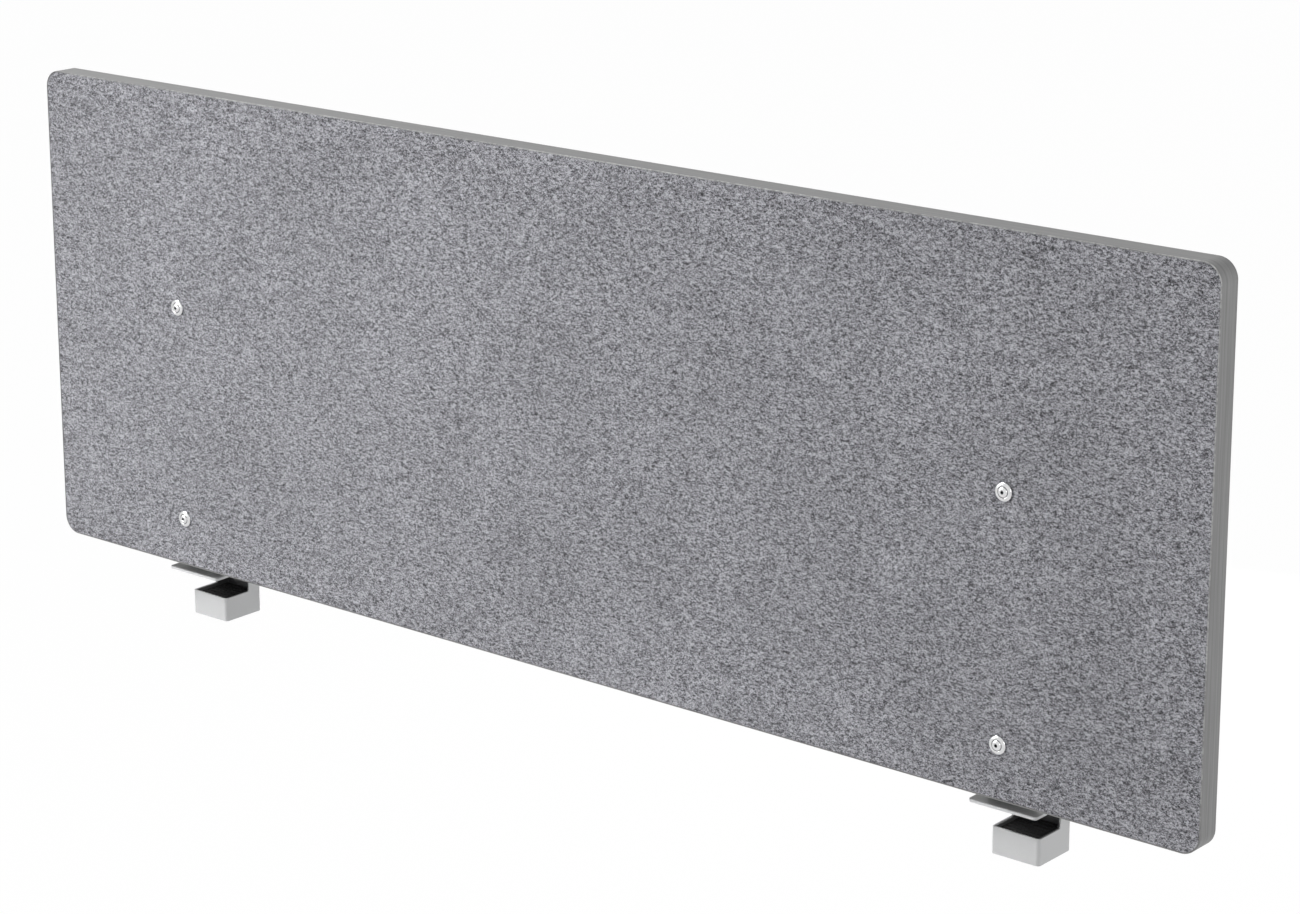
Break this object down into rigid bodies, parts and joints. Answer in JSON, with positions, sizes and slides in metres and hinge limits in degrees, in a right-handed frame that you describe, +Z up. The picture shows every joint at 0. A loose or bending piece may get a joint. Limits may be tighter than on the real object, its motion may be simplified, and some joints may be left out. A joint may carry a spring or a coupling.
{
  "type": "desk screen",
  "caption": "Felt-covered acoustic screen with rounded corners that clamps on a desk's rear edge with screw clamps.",
  "frame": {"origin": "the desk's rear top edge, midway along the screen", "axes": "+X along the screen, +Y from the person at the desk to its far side, +Z up"},
  "size_m": [1.4, 0.0845, 0.574],
  "materials": {
    "board": "raw",
    "felt_grey": "heather felt",
    "band_grey": "satin",
    "bracket_paint": "fine powder coat",
    "press_paint": "satin",
    "zinc": "zinc plated",
    "bright_steel": "nickel plated",
    "liner_black": "matt",
    "rubber_black": "matt"
  },
  "bodies": {
    "screen": {"core_board": "board", "front_felt": "felt_grey", "rear_felt": "felt_grey", "edge_band": "band_grey", "left_foot_plate": "bracket_paint", "left_upright": "bracket_paint", "left_upright_nuts": "zinc", "left_jaw": "bracket_paint", "left_jaw_floor": "bracket_paint", "left_jaw_liner": "liner_black", "left_clamp_nut": "zinc", "left_grip_pad": "rubber_black", "left_rosettes": "bright_steel", "left_panel_screws": "bright_steel", "right_foot_plate": "bracket_paint", "right_upright": "bracket_paint", "right_upright_nuts": "zinc", "right_jaw": "bracket_paint", "right_jaw_floor": "bracket_paint", "right_jaw_liner": "liner_black", "right_clamp_nut": "zinc", "right_grip_pad": "rubber_black", "right_rosettes": "bright_steel", "right_panel_screws": "bright_steel"},
    "left_pad": {"left_pressure_plate": "press_paint", "left_pressure_pad": "rubber_black"},
    "left_screw": {"left_spindle": "zinc"},
    "right_pad": {"right_pressure_plate": "press_paint", "right_pressure_pad": "rubber_black"},
    "right_screw": {"right_spindle": "zinc"}
  },
  "joints": [
    {"name": "left_pad_lift", "type": "slide", "parent": "screen", "child": "left_pad", "axis": [0, 0, 1], "range_m": [0, 0.012]},
    {"name": "left_screw_turn", "type": "hinge", "parent": "left_pad", "child": "left_screw", "pos_m": [-0.512, -0.008, -0.045], "axis": [0, 0, 1], "range_deg": [0, 3460]},
    {"name": "right_pad_lift", "type": "slide", "parent": "screen", "child": "right_pad", "axis": [0, 0, 1], "range_m": [0, 0.012]},
    {"name": "right_screw_turn", "type": "hinge", "parent": "right_pad", "child": "right_screw", "pos_m": [0.5, -0.008, -0.045], "axis": [0, 0, 1], "range_deg": [0, 3460]}
  ],
  "couplings": [
    {"joint": "left_screw_turn", "follows": "left_pad_lift", "rad_per_m": 5026.5},
    {"joint": "right_screw_turn", "follows": "right_pad_lift", "rad_per_m": 5026.5}
  ]
}
